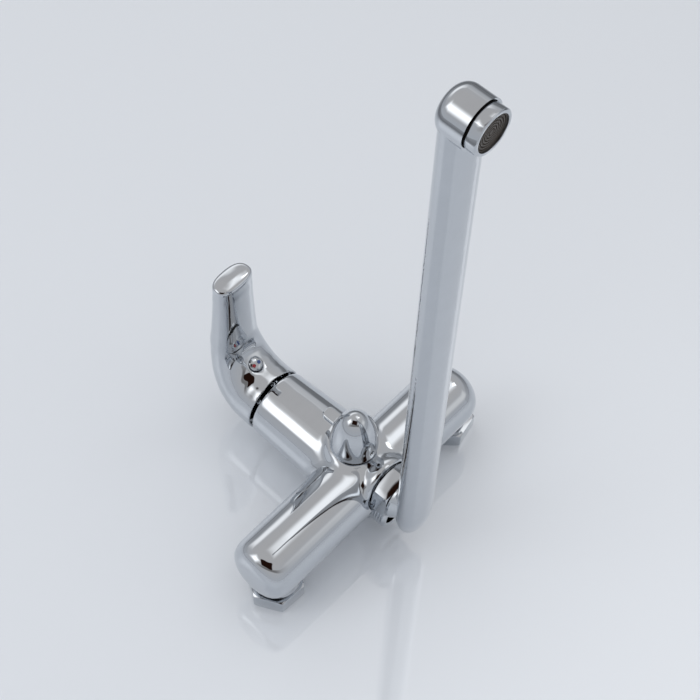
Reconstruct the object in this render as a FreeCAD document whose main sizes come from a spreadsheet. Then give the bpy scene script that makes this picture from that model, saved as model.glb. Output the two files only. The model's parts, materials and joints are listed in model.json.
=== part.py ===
import FreeCAD, Part
import math
import os
import Sketcher
from FreeCAD import Placement, Rotation, Vector

# Wall mounted single lever bath and shower mixer with a long swivel spout.
# Lengths are millimetres. The origin lies midway between the two inlets on the wall plane.
# X runs along the bar, Y towards the lever, Z away from the wall.

# Driving sizes
SIZES = {
    # Bar with its inlet legs
    "inlet_offset": 75.0,
    "bar_height": 38.7,
    "bar_radius": 20.0,
    "bar_left_overhang": 19.6,
    "bar_left_round": 10.0,
    "bar_right_overhang": 10.5,
    "bar_right_round": 15.0,
    "leg_left_radius": 15.0,
    "leg_right_radius": 12.5,
    "leg_rim_height": 13.5,
    "leg_shoulder": 24.0,
    "arm_bore_radius": 14.0,
    "arm_bore_inner": 11.0,
    "arm_bore_left_outer": 85.0,
    "arm_bore_right_outer": 76.0,
    "leg_bore_radius": 10.0,
    "leg_bore_top": 30.0,
    # Cartridge housing
    "housing_height": 35.9,
    "housing_mouth": 71.5,
    "housing_mouth_radius": 21.1,
    "housing_root": 5.0,
    "housing_root_radius": 24.1,
    "housing_back": 13.5,
    "housing_back_round": 12.0,
    "hub_blend": 9.0,
    "pocket_radius": 17.5,
    "pocket_floor": 33.0,
    "mouth_bore_radius": 18.8,
    "mouth_bore_floor": 58.5,
    "feed_across": 9.5,
    "feed_height": 28.0,
    "feed_radius": 3.5,
    "mixed_height": 44.0,
    "mixed_radius": 3.5,
    # Diverter
    "diverter_along": 9.5,
    "collar_radius": 16.0,
    "collar_top": 60.7,
    "collar_rim_round": 1.4,
    "diverter_bore_radius": 9.0,
    "diverter_floor": 33.0,
    "disc_thickness": 3.0,
    "stem_flange": 3.0,
    "stem_radius": 4.0,
    "stem_tip_radius": 3.5,
    "stem_shoulder": 58.0,
    "stem_tip": 75.0,
    "bonnet_foot": 46.0,
    "bonnet_top": 60.4,
    "seal_cord": 0.9,
    "knob_foot": 61.0,
    "knob_radius": 14.2,
    "knob_height": 31.0,
    "fin_reach": 22.8,
    "fin_half_width": 4.0,
    "fin_foot": 69.6,
    "fin_top": 73.2,
    # Spout joint
    "spout_axis_height": 47.9,
    "spout_boss_radius": 16.5,
    "spout_boss_root": 5.4,
    "spout_boss_root_radius": 12.2,
    "spout_boss_flare": 12.6,
    "spout_face": 17.2,
    "nipple_thread_radius": 11.6,
    "nipple_bore_radius": 9.2,
    "nipple_seat": 9.0,
    "nipple_end": 25.4,
    "nut_back": 18.0,
    "nut_front": 28.4,
    "nut_flat": 14.5,
    "nut_hole_radius": 9.8,
    "spigot_radius": 9.15,
    "spigot_end": 11.0,
    "spigot_bore_radius": 7.0,
    "neck_back": 28.9,
    "neck_front": 33.5,
    "neck_radius": 15.2,
    # Spout
    "spout_along": 38.2,
    "spout_half_width": 13.0,
    "spout_half_depth": 8.5,
    "spout_wall": 2.0,
    "spout_dome": 24.0,
    "spout_foot_height": 45.0,
    "spout_end_height": 397.9,
    "spout_top_radius": 13.2,
    "spout_back": 29.8,
    "spout_ring": 48.0,
    "spout_boss_round": 7.0,
    "aerator_radius": 12.0,
    "aerator_bore_radius": 11.3,
    "aerator_inner_radius": 10.2,
    "aerator_end": 54.5,
    "aerator_flat": 11.1,
    "aerator_flat_turn": 29.6,
    "aerator_seat": 40.0,
    "collar_gap": 0.8,
    # Shower outlet
    "shower_height": 18.5,
    "shower_boss_radius": 13.0,
    "shower_face": 13.0,
    "shower_end": 24.6,
    "shower_thread_radius": 10.48,
    "shower_thread_start": 14.0,
    "shower_undercut_radius": 10.1,
    "shower_spot_radius": 12.4,
    "shower_bore_radius": 7.0,
    "shower_seat": 5.0,
    # Inlet unions
    "union_height": 11.1,
    "union_flat": 15.0,
    "union_thread_radius": 12.06,
    "union_thread_end": 4.0,
    "union_relief_radius": 12.5,
    "union_shoulder": 8.3,
    "spigot_flange_radius": 12.0,
    "spigot_flange_top": 8.2,
    "inlet_tube_radius": 9.9,
    "inlet_bore_radius": 7.5,
    "spigot_top": 24.0,
    "washer_foot": 4.5,
    "washer_top": 6.0,
    "washer_hole_radius": 6.5,
    "screen_radius": 7.4,
    "screen_wall": 0.7,
    "screen_depth": 9.0,
    # Cartridge
    "base_foot": 33.3,
    "base_top": 38.3,
    "base_radius": 17.3,
    "disc_top": 41.3,
    "moving_top": 45.3,
    "carrier_top": 48.6,
    "case_radius": 17.4,
    "case_cavity_radius": 15.2,
    "case_cavity_top": 49.2,
    "case_top": 58.5,
    "neck_case_radius": 12.0,
    "neck_case_top": 66.0,
    "rotor_radius": 9.4,
    "rotor_foot": 49.5,
    "rotor_top": 65.0,
    "fixed_disc_radius": 15.1,
    "moving_disc_radius": 11.2,
    "pivot_along": 57.0,
    "stem_half": 4.0,
    "stem_foot": 46.8,
    "stem_end": 92.0,
    "pin_radius": 1.5,
    "pin_half": 8.8,
    "ring_radius": 18.7,
    "ring_bore_radius": 12.3,
    "ring_foot": 58.5,
    "ring_top": 67.5,
    # Lever
    "cap_rim": 73.5,
    "cap_radius": 21.0,
    "cap_mouth_radius": 19.7,
    "cap_mouth_depth": 78.6,
    "lever_wall": 2.4,
    "lever_front_wall": 5.4,
    "hollow_top": 124.0,
    "socket_radius": 8.5,
    "socket_foot": 79.0,
    "corner_along": 77.4,
    "corner_height": 76.8,
    "corner_radius": 19.9,
    "heel_fullness": 2.72,
    "lever_axis": 104.3,
    "lever_back": 115.6,
    "column_fullness": 2.5,
    "lever_root_half_width": 15.6,
    "lever_narrowing": 2.6,
    "lever_front_thinning": 0.8,
    "lever_back_thinning": 2.9,
    "lever_lip_round": 1.8,
    "lever_crown": 1.2,
    "lever_tip": 133.4,
    "plug_along": 87.7,
    "plug_height": 59.95,
    "plug_tilt": 30.8,
    "plug_radius": 4.1,
    "plug_depth": 4.0,
    "plug_rise": 0.6,
    "mark_radius": 1.1,
    "mark_offset": 1.9,
    "screw_radius": 2.5,
    "screw_foot": 39.9,
    "screw_top": 47.0,
    # Clearances
    "slip": 0.05,
    "thread_play": 0.05,
    "rest_gap": 0.3,
}

doc = FreeCAD.newDocument("mixer")
sheet = doc.addObject("Spreadsheet::Sheet", "Sizes")
for row, (size_name, size_value) in enumerate(SIZES.items(), start=1):
    sheet.set("A%d" % row, size_name)
    sheet.set("B%d" % row, str(size_value))
    sheet.setAlias("B%d" % row, size_name)
doc.recompute()

TURNS = {
    "X": Rotation(Vector(0, 1, 0), 90),
    "Y": Rotation(Vector(1, 0, 0), -90),
    "-Y": Rotation(Vector(1, 0, 0), 90),
    "Z": Rotation(),
}
parts = []


def amount(text):
    """Work out a sum of named sizes and plain numbers, such as 'bar_height - slip'."""
    total = 0.0
    sign = 1.0
    for word in text.split():
        if word == "+":
            sign = 1.0
        elif word == "-":
            sign = -1.0
        else:
            total += sign * (SIZES[word] if word in SIZES else float(word))
            sign = 1.0
    return total


def formula(text):
    """Write the same sum as an expression on the size sheet."""
    words = []
    for word in text.split():
        words.append("Sizes." + word if word in SIZES else word)
    return " ".join(words)


def bind(item, prop, text):
    """Bind one property to a sum of sizes."""
    item.setExpression(prop, formula(text))


def place(item, across, along, height, direction="Z"):
    """Stand an object at a point given by sums of sizes, its Z turned to the direction."""
    point = Vector(amount(across), amount(along), amount(height))
    item.Placement = Placement(point, TURNS[direction])
    bind(item, "Placement.Base.x", across)
    bind(item, "Placement.Base.y", along)
    bind(item, "Placement.Base.z", height)
    return item


def origin_plane(body, role):
    """Find the origin plane of a body by its role."""
    return [f for f in body.Origin.OriginFeatures if f.Role == role][0]


def sketch_on(body, name, role):
    """Add a sketch on an origin plane."""
    sketch = body.newObject("Sketcher::SketchObject", name)
    sketch.AttachmentSupport = [(origin_plane(body, role), "")]
    sketch.MapMode = "FlatFace"
    return sketch


def draw_outline(sketch, corners):
    """Draw a closed outline whose corners are sums of sizes."""
    points = [Vector(amount(a), amount(b), 0) for a, b in corners]
    count = len(points)
    for i in range(count):
        sketch.addGeometry(Part.LineSegment(points[i], points[(i + 1) % count]), False)
    for i in range(count):
        sketch.addConstraint(Sketcher.Constraint("Coincident", i, 2, (i + 1) % count, 1))
    for i, (across, up) in enumerate(corners):
        if across == "0":
            sketch.addConstraint(Sketcher.Constraint("PointOnObject", i, 1, -2))
        else:
            index = sketch.addConstraint(
                Sketcher.Constraint("DistanceX", -1, 1, i, 1, amount(across)))
            sketch.setExpression("Constraints[%d]" % index, formula(across))
        if up == "0":
            sketch.addConstraint(Sketcher.Constraint("PointOnObject", i, 1, -1))
        else:
            index = sketch.addConstraint(
                Sketcher.Constraint("DistanceY", -1, 1, i, 1, amount(up)))
            sketch.setExpression("Constraints[%d]" % index, formula(up))


def turned(name, corners, at=("0", "0", "0"), direction="Z"):
    """Make a body of revolution about its own Z from corners of (radius, height)."""
    body = doc.addObject("PartDesign::Body", name)
    sketch = sketch_on(body, name + "_outline", "XZ_Plane")
    draw_outline(sketch, corners)
    spin = body.newObject("PartDesign::Revolution", name + "_spin")
    spin.Profile = sketch
    spin.ReferenceAxis = (sketch, ["V_Axis"])
    spin.Angle = 360.0
    place(body, at[0], at[1], at[2], direction)
    return body


def rod(name, radius, length, at, direction="Z"):
    """Make a plain cylinder."""
    item = doc.addObject("Part::Cylinder", name)
    bind(item, "Radius", radius)
    bind(item, "Height", length)
    item.Radius = amount(radius)
    item.Height = amount(length)
    return place(item, at[0], at[1], at[2], direction)


def block(name, width, depth, height, at):
    """Make a box from its lowest corner."""
    item = doc.addObject("Part::Box", name)
    for prop, text in (("Length", width), ("Width", depth), ("Height", height)):
        bind(item, prop, text)
    return place(item, at[0], at[1], at[2])


def joined(name, first, *others):
    """Fuse objects one after another."""
    result = first
    for number, other in enumerate(others):
        last = number == len(others) - 1
        fuse = doc.addObject("Part::Fuse", name if last else "%s_step_%d" % (name, number))
        fuse.Base = result
        fuse.Tool = other
        fuse.Refine = True
        result = fuse
    return result


def cut(name, base, *tools):
    """Cut tools out of a base one after another."""
    result = base
    for number, tool in enumerate(tools):
        last = number == len(tools) - 1
        item = doc.addObject("Part::Cut", name if last else "%s_cut_%d" % (name, number))
        item.Base = result
        item.Tool = tool
        item.Refine = True
        result = item
    return result


def common(name, base, tool):
    """Keep what two objects share."""
    item = doc.addObject("Part::Common", name)
    item.Base = base
    item.Tool = tool
    return item


def rounded(name, base, radius, wanted):
    """Round the edges of a base that the test wants."""
    doc.recompute()
    chosen = []
    for index, edge in enumerate(base.Shape.Edges, start=1):
        if edge.Degenerated:
            continue
        low, high = edge.ParameterRange
        spots = [edge.valueAt(low + (high - low) * k / 8.0) for k in range(9)]
        if wanted(edge, spots):
            chosen.append((index, amount(radius), amount(radius)))
    if not chosen:
        raise RuntimeError("no edges found for " + name)
    item = doc.addObject("Part::Fillet", name)
    item.Base = base
    item.Edges = chosen
    doc.recompute()
    if item.Shape.isNull() or not item.Shape.isValid():
        raise RuntimeError("rounding failed for " + name)
    return item


def keep(item, label):
    """List a finished sub-part under its own label."""
    item.Label = label
    parts.append(item)
    return item


def hexagon(name, flat, length, at, direction, phase):
    """Make a hexagonal prism with the given half width over flats."""
    item = doc.addObject("Part::Prism", name)
    item.Polygon = 6
    item.setExpression("Circumradius", "(%s) / cos(30 deg)" % formula(flat))
    bind(item, "Height", length)
    place(item, at[0], at[1], at[2], direction)
    item.Placement.Rotation = TURNS[direction].multiply(Rotation(Vector(0, 0, 1), phase))
    return item


# Mixer body
def make_mixer_body():
    """Make the hollow casting: bar, legs, cartridge housing, hub, bosses and channels."""
    left_end = "0 - inlet_offset - bar_left_overhang"
    right_end = "inlet_offset + bar_right_overhang"
    length = "inlet_offset + inlet_offset + bar_left_overhang + bar_right_overhang"
    bar = rod("bar", "bar_radius", length,
              (left_end, "0", "bar_height"), "X")
    for side, reach in (("left", left_end), ("right", right_end)):
        bar = rounded("bar_soft_" + side, bar, "bar_%s_round" % side, lambda edge, spots:
                      all(abs(p.x - amount(reach)) < 0.01 for p in spots))
    legs = []
    for side, sign in (("left", "0 - inlet_offset"), ("right", "inlet_offset")):
        leg_radius = "leg_%s_radius" % side
        legs.append(rod("leg_" + side, leg_radius, "leg_shoulder - leg_rim_height",
                        (sign, "0", "leg_rim_height")))
        elbow = doc.addObject("Part::Sphere", "elbow_" + side)
        bind(elbow, "Radius", leg_radius)
        elbow.Angle1 = 0
        legs.append(place(elbow, sign, "0", "leg_shoulder"))
    bar = joined("bar_on_legs", bar, *legs)
    housing = turned("housing", [
        ("0", "0 - housing_back"),
        ("housing_root_radius", "0 - housing_back"),
        ("housing_root_radius", "housing_root"),
        ("housing_mouth_radius", "housing_mouth"),
        ("0", "housing_mouth"),
    ], ("0", "0", "housing_height"), "Y")

    def at_back(edge, spots):
        return all(abs(p.y + amount("housing_back")) < 0.01 for p in spots)

    housing = rounded("housing_soft", housing, "housing_back_round", at_back)
    trunk = joined("trunk", bar, housing)

    def where_they_meet(edge, spots):
        for p in spots[1:-1]:
            off_bar = math.hypot(p.y, p.z - amount("bar_height")) - amount("bar_radius")
            if abs(off_bar) > 0.05 or abs(p.x) > 60.0:
                return False
        return not (abs(spots[0].x) > 10 and abs(spots[-1].x - spots[0].x) > 30)

    trunk = rounded("trunk_soft", trunk, "hub_blend", where_they_meet)

    spout_boss = turned("spout_boss", [
        ("0", "0"), ("spout_boss_root_radius", "0"),
        ("spout_boss_root_radius", "spout_boss_root"),
        ("spout_boss_radius", "spout_boss_flare"), ("spout_boss_radius", "spout_face"),
        ("0", "spout_face"),
    ], ("0", "0", "spout_axis_height"), "-Y")
    shower_boss = rod("shower_boss", "shower_boss_radius", "shower_face + 12",
                      ("0", "12", "shower_height"), "-Y")
    collar = rod("collar", "collar_radius", "collar_top - housing_height",
                 ("0", "diverter_along", "housing_height"))
    collar = rounded("collar_rim", collar, "collar_rim_round", lambda edge, spots:
                     all(abs(p.z - amount("collar_top")) < 0.01 for p in spots))
    outer = joined("outer_bosses", trunk, collar)
    outer = soft_feet("collar_soft", outer, 3.0, lambda p:
                      abs(math.hypot(p.x, p.y - amount("diverter_along"))
                          - amount("collar_radius")) < 0.05 and p.z < amount("collar_top - collar_rim_round")
                      - 0.05 and p.z > 50.0)
    outer = joined("outer_outlets", outer, spout_boss)
    outer = soft_feet("spout_boss_soft", outer, 2.0, lambda p:
                      abs(math.hypot(p.x, p.z - amount("spout_axis_height"))
                          - amount("spout_boss_radius")) < 0.05
                      and p.y > 0.3 - amount("spout_face"))
    outer = joined("outer_all", outer, shower_boss)
    outer = soft_feet("shower_boss_soft", outer, 2.0, lambda p:
                      abs(math.hypot(p.x, p.z - amount("shower_height"))
                          - amount("shower_boss_radius")) < 0.05
                      and p.y > 0.3 - amount("shower_face"))

    spot_face = rod("spot_face", "spout_boss_radius + 1.2", "10",
                    ("0", "0 - spout_face", "spout_axis_height"), "-Y")
    shower_spot_face = rod("shower_spot_face", "shower_spot_radius", "12",
                           ("0", "0 - shower_face", "shower_height"), "-Y")
    tools = [
        spot_face,
        shower_spot_face,
        rod("pocket", "pocket_radius", "housing_mouth - pocket_floor + 1",
            ("0", "pocket_floor", "housing_height"), "Y"),
        rod("mouth_bore", "mouth_bore_radius", "housing_mouth - mouth_bore_floor + 1",
            ("0", "mouth_bore_floor", "housing_height"), "Y"),
        rod("diverter_bore", "diverter_bore_radius", "collar_top - diverter_floor + 1",
            ("0", "diverter_along", "diverter_floor")),
        rod("mixed_hole", "mixed_radius", "pocket_floor - diverter_along + 1",
            ("0", "diverter_along", "mixed_height"), "Y"),
        rod("spout_socket", "nipple_thread_radius + thread_play", "spout_face - nipple_seat + 1",
            ("0", "0 - nipple_seat", "spout_axis_height"), "-Y"),
        rod("spout_hole", "spigot_bore_radius - 1", "nipple_seat + diverter_along + 1",
            ("0", "diverter_along", "spout_axis_height"), "-Y"),
        rod("shower_socket", "shower_thread_radius + thread_play - 1",
            "shower_face - shower_seat + 1", ("0", "0 - shower_seat", "shower_height"), "-Y"),
        rod("shower_hole", "shower_bore_radius - 1.5", "shower_seat + diverter_along + 1",
            ("0", "diverter_along", "shower_height"), "-Y"),
        rod("shower_drop", "shower_bore_radius - 2", "diverter_floor - shower_height + 1",
            ("0", "diverter_along", "shower_height")),
    ]
    for side, sign in (("left", "0 - "), ("right", "")):
        tools.append(rod("leg_bore_" + side, "leg_bore_radius", "leg_bore_top - leg_rim_height + 1",
                         (sign + "inlet_offset", "0", "leg_rim_height - 1")))
        start = "0 - arm_bore_left_outer" if side == "left" else "arm_bore_inner"
        tools.append(rod("arm_bore_" + side, "arm_bore_radius",
                         "arm_bore_%s_outer - arm_bore_inner" % side,
                         (start, "0", "bar_height"), "X"))
        tools.append(rod("feed_" + side, "feed_radius", "pocket_floor + 1",
                         (sign + "feed_across", "0", "feed_height"), "Y"))
    body = cut("casting", outer, *tools)

    def at_mouth(edge, spots):
        y_mouth = amount("housing_mouth")
        reach = amount("housing_mouth_radius")
        return all(abs(p.y - y_mouth) < 0.01 and
                   abs(math.hypot(p.x, p.z - amount("housing_height")) - reach) < 0.05
                   for p in spots)

    body = rounded("casting_soft", body, "rest_gap + 0.6", at_mouth)
    return keep(body, "mixer_body")


def soft_feet(name, base, radius, near):
    """Try to round the foot of a boss, with a smaller radius where the first does not fit."""
    doc.recompute()
    for size in (radius, radius * 0.7, radius * 0.45):
        chosen = []
        for index, edge in enumerate(base.Shape.Edges, start=1):
            if edge.Degenerated or edge.Length < 0.2:
                continue
            low, high = edge.ParameterRange
            spots = [edge.valueAt(low + (high - low) * k / 8.0) for k in range(1, 8)]
            if all(near(p) for p in spots):
                straight = edge.Curve.TypeId == "Part::GeomLine"
                if not straight:
                    chosen.append((index, size, size))
        if not chosen:
            print("no foot edges", name)
            return base
        item = doc.addObject("Part::Fillet", name)
        item.Base = base
        item.Edges = chosen
        doc.recompute()
        if not item.Shape.isNull() and item.Shape.isValid() and "Invalid" not in item.State:
            print(name, "rounded", size, len(chosen))
            return item
        doc.removeObject(item.Name)
    print(name, "left sharp")
    return base


# Inlet unions
def make_inlet(side, sign, phase):
    """Make the spigot, nut, washer and strainer of one inlet."""
    centre = (sign + "inlet_offset", "0", "0")
    blank = turned("union_blank_" + side, [
        ("union_thread_radius", "0"),
        ("union_flat + 1.2", "0"),
        ("union_flat + 2.4", "1.0"),
        ("union_flat + 2.4", "union_height - 1.0"),
        ("union_flat + 0.9", "union_height"),
        ("inlet_tube_radius + slip", "union_height"),
        ("inlet_tube_radius + slip", "union_shoulder"),
        ("union_relief_radius", "union_shoulder"),
        ("union_relief_radius", "union_thread_end"),
        ("union_thread_radius", "union_thread_end"),
    ], centre)
    hexes = hexagon("union_hex_" + side, "union_flat", "union_height", centre, "Z", phase)
    keep(common("union_nut_" + side, blank, hexes), "union_nut_" + side)
    keep(turned("inlet_spigot_" + side, [
        ("inlet_bore_radius", "washer_top"),
        ("spigot_flange_radius", "washer_top"),
        ("spigot_flange_radius", "spigot_flange_top"),
        ("inlet_tube_radius", "spigot_flange_top"),
        ("inlet_tube_radius", "spigot_top"),
        ("inlet_bore_radius", "spigot_top"),
    ], centre), "inlet_spigot_" + side)
    keep(turned("inlet_washer_" + side, [
        ("washer_hole_radius", "washer_foot"),
        ("spigot_flange_radius - 0.1", "washer_foot"),
        ("spigot_flange_radius - 0.1", "washer_top"),
        ("washer_hole_radius", "washer_top"),
    ], centre), "inlet_washer_" + side)
    keep(turned("filter_screen_" + side, [
        ("screen_radius - screen_wall", "washer_top"),
        ("screen_radius", "washer_top"),
        ("screen_radius", "washer_top + 2"),
        ("screen_radius - 1.6", "washer_top + screen_depth"),
        ("0", "washer_top + screen_depth"),
        ("0", "washer_top + screen_depth - screen_wall"),
        ("screen_radius - 1.6 - screen_wall", "washer_top + screen_depth - screen_wall"),
        ("screen_radius - screen_wall", "washer_top + 2"),
    ], centre), "filter_screen_" + side)


# Mixing cartridge
def make_cartridge():
    """Make the cartridge from its base seals up to the clamping ring."""
    axis = ("0", "0", "housing_height")

    def ports(name, foot, length):
        holes = []
        for side, sign in (("left", "0 - "), ("right", "")):
            holes.append(rod(name + "_port_" + side, "feed_radius - 0.6", length,
                             (sign + "feed_across", foot, "feed_height"), "Y"))
        holes.append(rod(name + "_port_mixed", "mixed_radius", length,
                         ("0", foot, "mixed_height"), "Y"))
        return holes

    base = turned("base_blank", [
        ("0", "base_foot"), ("base_radius", "base_foot"),
        ("base_radius", "base_top"), ("0", "base_top"),
    ], axis, "Y")
    keep(cut("base_bored", base, *ports("base", "base_foot - 1", "base_top")), "cartridge_base")

    rings = []
    spots = (("left", "0 - feed_across", "feed_height"), ("right", "feed_across", "feed_height"),
             ("mixed", "0", "mixed_height"))
    for side, across, height in spots:
        rings.append(turned("seal_" + side, [
            ("feed_radius + 0.2", "pocket_floor"), ("feed_radius + 1.2", "pocket_floor"),
            ("feed_radius + 1.2", "base_foot"), ("feed_radius + 0.2", "base_foot"),
        ], (across, "0", height), "Y"))
    keep(joined("seals", *rings), "cartridge_seals")

    disc = turned("fixed_disc_blank", [
        ("0", "base_top"), ("fixed_disc_radius", "base_top"),
        ("fixed_disc_radius", "disc_top"), ("0", "disc_top"),
    ], axis, "Y")
    holes = []
    for side, sign in (("left", "0 - "), ("right", "")):
        holes.append(rod("fixed_port_" + side, "feed_radius - 1", "6",
                         (sign + "7.4", "base_top - 1", "housing_height - 5.4"), "Y"))
    holes.append(rod("fixed_port_mixed", "mixed_radius - 0.5", "6",
                     ("0", "base_top - 1", "housing_height + 6"), "Y"))
    keep(cut("fixed_disc", disc, *holes), "ceramic_disc_fixed")

    keep(turned("moving_disc", [
        ("0", "disc_top + 1.5"), ("7", "disc_top + 1.5"), ("7", "disc_top"),
        ("moving_disc_radius", "disc_top"), ("moving_disc_radius", "moving_top"),
        ("0", "moving_top"),
    ], axis, "Y"), "ceramic_disc_moving")

    carrier = turned("carrier_blank", [
        ("0", "moving_top"), ("moving_disc_radius", "moving_top"),
        ("moving_disc_radius", "carrier_top"), ("0", "carrier_top"),
    ], axis, "Y")
    slot = block("carrier_slot", "7.4", "4", "7.4",
                 ("0 - 3.7", "moving_top + 0.8", "housing_height - 3.7"))
    keep(cut("carrier", carrier, slot), "disc_carrier")

    keep(turned("case", [
        ("case_cavity_radius", "base_top"), ("case_radius", "base_top"),
        ("case_radius", "case_top"), ("neck_case_radius", "case_top"),
        ("neck_case_radius", "neck_case_top"), ("rotor_radius + slip", "neck_case_top"),
        ("rotor_radius + slip", "case_cavity_top"), ("case_cavity_radius", "case_cavity_top"),
    ], axis, "Y"), "cartridge_body")

    rotor = turned("rotor_blank", [
        ("0", "rotor_foot"), ("rotor_radius", "rotor_foot"),
        ("rotor_radius", "rotor_top"), ("0", "rotor_top"),
    ], axis, "Y")
    gate = block("rotor_gate", "stem_half + stem_half + 0.2", "rotor_top - rotor_foot + 2",
                 "15.2", ("0 - stem_half - 0.1", "rotor_foot - 1", "housing_height - 7.6"))
    pin_hole = rod("rotor_pin_hole", "pin_radius + slip", "30",
                   ("0 - 15", "pivot_along", "housing_height"), "X")
    keep(cut("rotor", rotor, gate, pin_hole), "cartridge_rotor")

    keep(rod("pivot_pin", "pin_radius", "pin_half + pin_half",
             ("0 - pin_half", "pivot_along", "housing_height"), "X"), "cartridge_pin")

    post = block("stem_post", "stem_half + stem_half", "stem_end - pivot_along + 3.5",
                 "stem_half + stem_half",
                 ("0 - stem_half", "pivot_along - 3.5", "housing_height - stem_half"))
    toe = block("stem_toe", "5.6", "pivot_along - stem_foot", "5.6",
                ("0 - 2.8", "stem_foot", "housing_height - 2.8"))
    stem_hole = rod("stem_pin_hole", "pin_radius + slip", "20",
                    ("0 - 10", "pivot_along", "housing_height"), "X")
    keep(cut("stem_bored", joined("stem_whole", post, toe), stem_hole), "cartridge_stem")

    ring = turned("ring_blank", [
        ("ring_bore_radius", "ring_foot"), ("ring_radius", "ring_foot"),
        ("ring_radius", "ring_top"), ("ring_bore_radius", "ring_top"),
    ], axis, "Y")
    slots = []
    for number in range(2):
        bar_across = block("ring_slot_%d" % number, "44", "4", "4",
                           ("0 - 22", "ring_top - 3", "housing_height - 2"))
        if number:
            bar_across = block("ring_slot_upright", "4", "4", "44",
                               ("0 - 2", "ring_top - 3", "housing_height - 22"))
        slots.append(bar_across)
    keep(cut("ring_slotted", ring, *slots), "cartridge_nut")


# Lever
def lever_sections():
    """List the lever's sections: centre y and z, angle, half width, two half depths, fullness."""
    corner_y = amount("corner_along")
    corner_z = amount("corner_height")
    inner = amount("corner_radius")
    axis_z = amount("housing_height")
    cap = amount("cap_radius")
    across = amount("lever_back") - corner_y
    down = corner_z - (axis_z - cap)
    root_width = amount("lever_root_half_width")
    power = amount("heel_fullness")
    full = amount("column_fullness")
    front_share = (amount("lever_axis") - corner_y - inner) / (across - inner)
    rows = [(amount("cap_rim"), axis_z, 0.0, cap, cap, cap, 2.0)]
    steps = 10
    for number in range(steps + 1):
        angle = 90.0 * number / steps
        turn = math.radians(angle)
        out_y = math.sin(turn)
        out_z = max(math.cos(turn), 0.0)
        reach = ((out_y / across) ** power + (out_z / down) ** power) ** (-1.0 / power)
        share = number / steps
        blend = share * share * (3.0 - 2.0 * share)
        depth = reach - inner
        front = depth * (0.5 + (front_share - 0.5) * blend)
        mid = inner + front
        rows.append((corner_y + mid * out_y, corner_z - mid * out_z, angle,
                     cap + (root_width - cap) * blend, front, depth - front,
                     2.0 + (full - 2.0) * blend))
    centre = amount("lever_axis")
    root_front = centre - corner_y - inner
    root_back = amount("lever_back") - centre
    lip = amount("lever_lip_round")
    top = amount("lever_tip - lever_crown") - lip
    for share in (0.14, 0.28, 0.43, 0.58, 0.73, 0.86, 0.94, 1.0):
        ease = 1.0 - (1.0 - share) ** 1.6
        rows.append((centre, corner_z + (top - corner_z) * share, 90.0,
                     root_width - amount("lever_narrowing") * ease,
                     root_front - amount("lever_front_thinning") * share,
                     root_back - amount("lever_back_thinning") * ease, full))
    width, front, back = rows[-1][3:6]
    for lift in (25.0, 50.0, 75.0):
        turn = math.radians(lift)
        inset = lip * (1.0 - math.cos(turn))
        rows.append((centre, top + lip * math.sin(turn), 90.0, width - inset, front - inset,
                     back - inset, full))
    for share in (0.8, 0.5, 0.25):
        rows.append((centre, top + lip + amount("lever_crown") * (1.0 - share * share), 90.0,
                     (width - lip) * share, (front - lip) * share, (back - lip) * share, full))
    return rows, Vector(0, centre, amount("lever_tip"))


def hollow_sections():
    """List the sections of the lever's hollow, set in from its skin by the wall."""
    wall = amount("lever_wall")
    extra = amount("lever_front_wall") - wall
    rows = []
    for centre_y, centre_z, angle, width, front, back, full in lever_sections()[0][1:]:
        if centre_z > amount("hollow_top") or width < 8.0:
            break
        share = angle / 90.0
        rows.append((centre_y, centre_z, angle, width - wall,
                     front - wall - extra * share * share, back - wall, full))
    return rows


def ring_wire(centre_y, centre_z, angle, width, front, back, full):
    """Draw one closed oval of four joined curves in its tilted plane."""
    turn = math.radians(angle)
    outward = Vector(0, math.sin(turn), -math.cos(turn))
    sideways = Vector(1, 0, 0)
    centre = Vector(0, centre_y, centre_z)

    def point(around):
        run = math.cos(around)
        rise = math.sin(around)
        reach = (abs(run) ** full + abs(rise) ** full) ** (-1.0 / full)
        depth = back if rise > 0 else front
        return centre + sideways * (width * reach * run) + outward * (depth * reach * rise)

    def heading(around):
        step = 0.001
        return (point(around + step) - point(around - step)) * (0.5 / step)

    quarter = math.pi / 2
    edges = []
    for number in range(4):
        start = math.pi / 4 + quarter * number
        curve = Part.BSplineCurve()
        curve.interpolate(Points=[point(start + quarter * k / 6) for k in range(7)],
                          Parameters=[k / 6 for k in range(7)],
                          InitialTangent=heading(start) * quarter,
                          FinalTangent=heading(start + quarter) * quarter, Scale=False)
        edges.append(curve.toShape())
    return Part.Wire(edges)


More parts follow.
